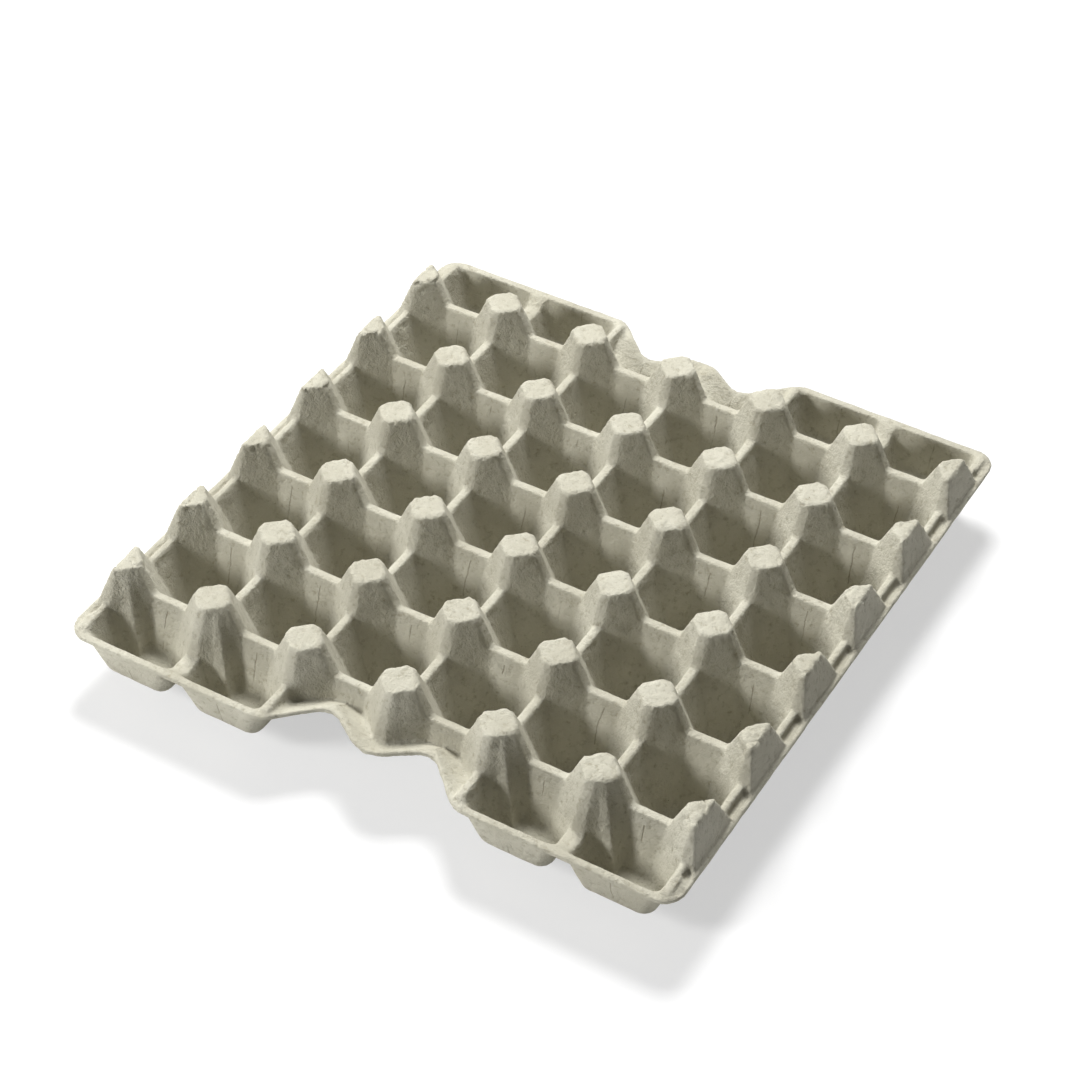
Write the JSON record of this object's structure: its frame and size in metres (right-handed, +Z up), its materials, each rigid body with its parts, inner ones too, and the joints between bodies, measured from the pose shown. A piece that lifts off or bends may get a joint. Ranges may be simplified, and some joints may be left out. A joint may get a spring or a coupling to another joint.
{
  "type": "pulp egg tray",
  "caption": "Tray of moulded grey pulp with octagonal egg cups between flat-topped posts, a rim flange, pockets along both ends and a pair of finger notches in each end.",
  "frame": {"origin": "centre of the base, on the plane that the cup floors stand on", "axes": "+X along the rows of six cups, +Y across the five rows towards one notched end, +Z up out of the cups"},
  "size_m": [0.2916, 0.303, 0.048],
  "materials": {
    "pulp": "matt"
  },
  "bodies": {
    "root": {"egg_tray": "pulp"}
  },
  "joints": []
}
